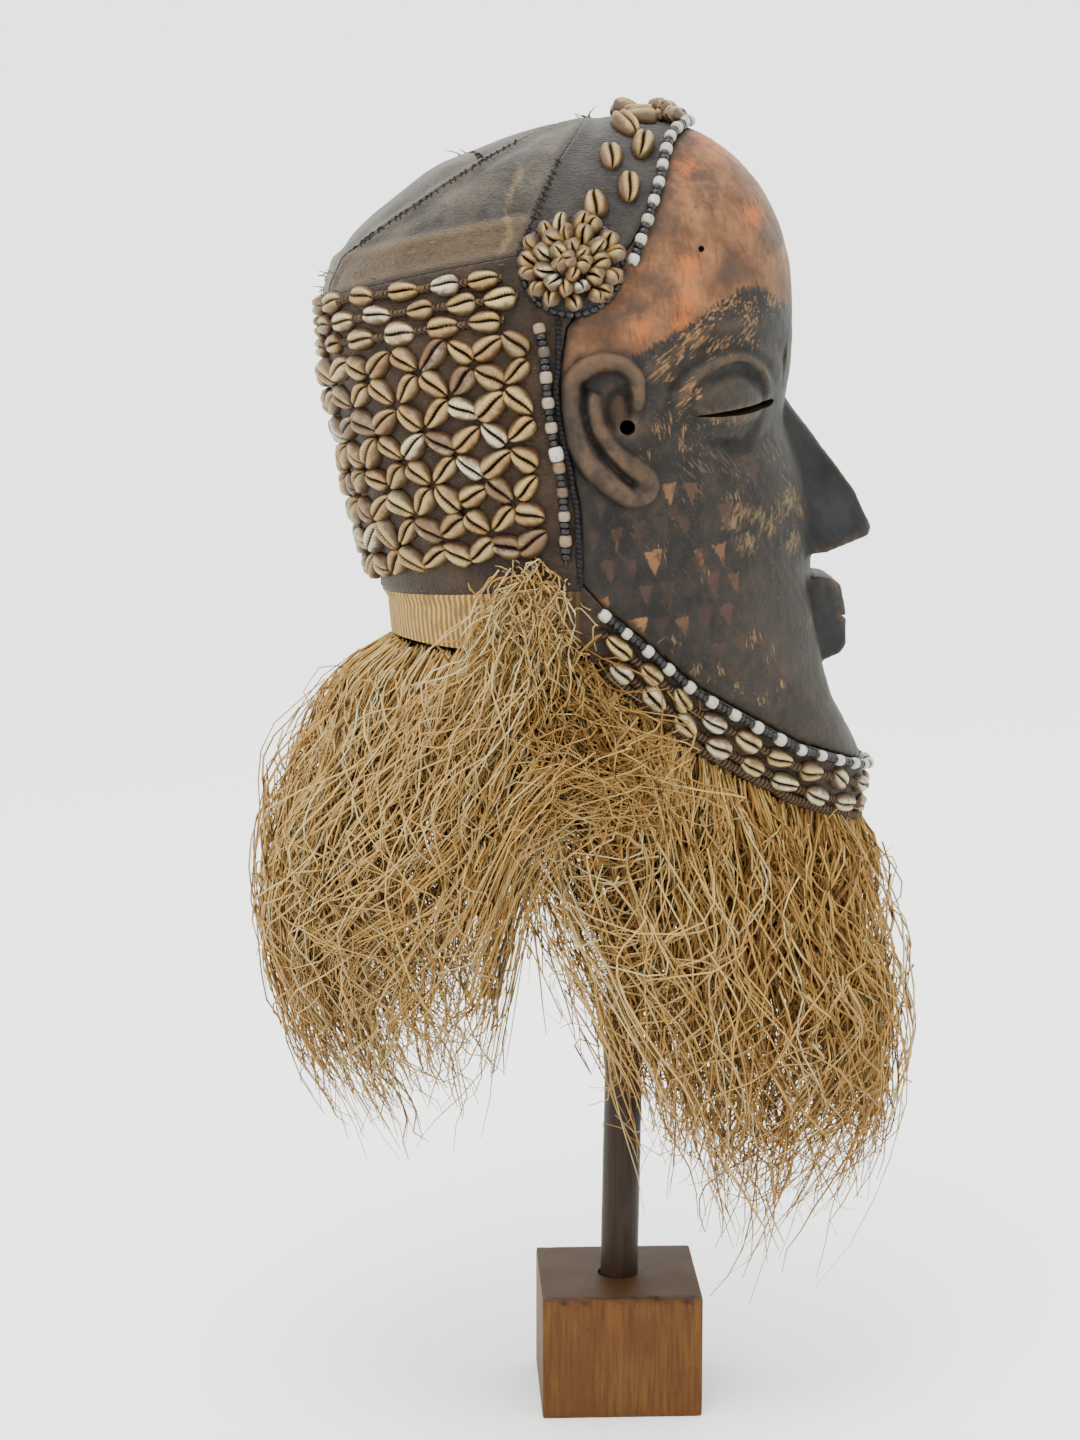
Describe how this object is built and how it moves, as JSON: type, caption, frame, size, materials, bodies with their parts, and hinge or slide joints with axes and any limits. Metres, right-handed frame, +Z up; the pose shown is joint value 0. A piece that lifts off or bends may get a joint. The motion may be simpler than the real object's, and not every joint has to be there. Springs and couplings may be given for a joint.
{
  "type": "beaded helmet mask on stand",
  "caption": "Carved wooden helmet mask with cowrie-covered cloth hood, bead strings and raffia fringe, on a rod and wooden block.",
  "frame": {"origin": "middle of the stand block's underside", "axes": "+Z up along the stand; the face looks along -Y; the wearer's right side is at -X; X=0 is the middle plane"},
  "size_m": [0.2272, 0.313, 0.6444],
  "materials": {
    "block_wood": "oiled medium brown hardwood, upright grain, dark chipped top edge",
    "rod_finish": "round rod stained dark brown, semi-gloss with a grey sheen",
    "carved_wood": "carved wood, orange-brown forehead, dark painted face, rubbed and scraped",
    "crown_cloth": "coarse grey-brown woven raffia cloth, worn pale in streaks",
    "brown_cloth": "dark reddish brown cloth",
    "woven_band": "pale upright raffia ribs",
    "cowrie_shell": "cream to tan cowrie shells with dark slits, slightly glossy",
    "beads": "cream-white and black glass beads, glossy",
    "raffia": "loose golden raffia fibres"
  },
  "bodies": {
    "root": {"stand_block": "block_wood", "stand_rod": "rod_finish", "carved_face": "carved_wood", "crown_middle_strip": "crown_cloth", "crown_panel_right": "crown_cloth", "crown_panel_left": "crown_cloth", "crown_front_band": "crown_cloth", "back_cloth": "brown_cloth", "chin_band": "brown_cloth", "neck_band": "woven_band", "cowrie_row_1": "cowrie_shell", "cowrie_row_2": "cowrie_shell", "cowrie_row_3": "cowrie_shell", "cowrie_row_4": "cowrie_shell", "cowrie_row_5": "cowrie_shell", "cowrie_row_6": "cowrie_shell", "cowrie_row_7": "cowrie_shell", "cowrie_row_8": "cowrie_shell", "cowrie_row_9": "cowrie_shell", "cowrie_row_10": "cowrie_shell", "cowrie_row_11": "cowrie_shell", "chin_cowries_upper": "cowrie_shell", "chin_cowries_lower": "cowrie_shell", "band_cowries_right": "cowrie_shell", "band_cowries_left": "cowrie_shell", "crown_cowries": "cowrie_shell", "rosette_right": "cowrie_shell", "rosette_left": "cowrie_shell", "hairline_beads": "beads", "side_beads_right": "beads", "side_beads_left": "beads", "chin_beads": "beads", "nape_fringe": "raffia", "beard_fringe": "raffia", "side_tuft_right": "raffia", "side_tuft_left": "raffia"}
  },
  "joints": []
}
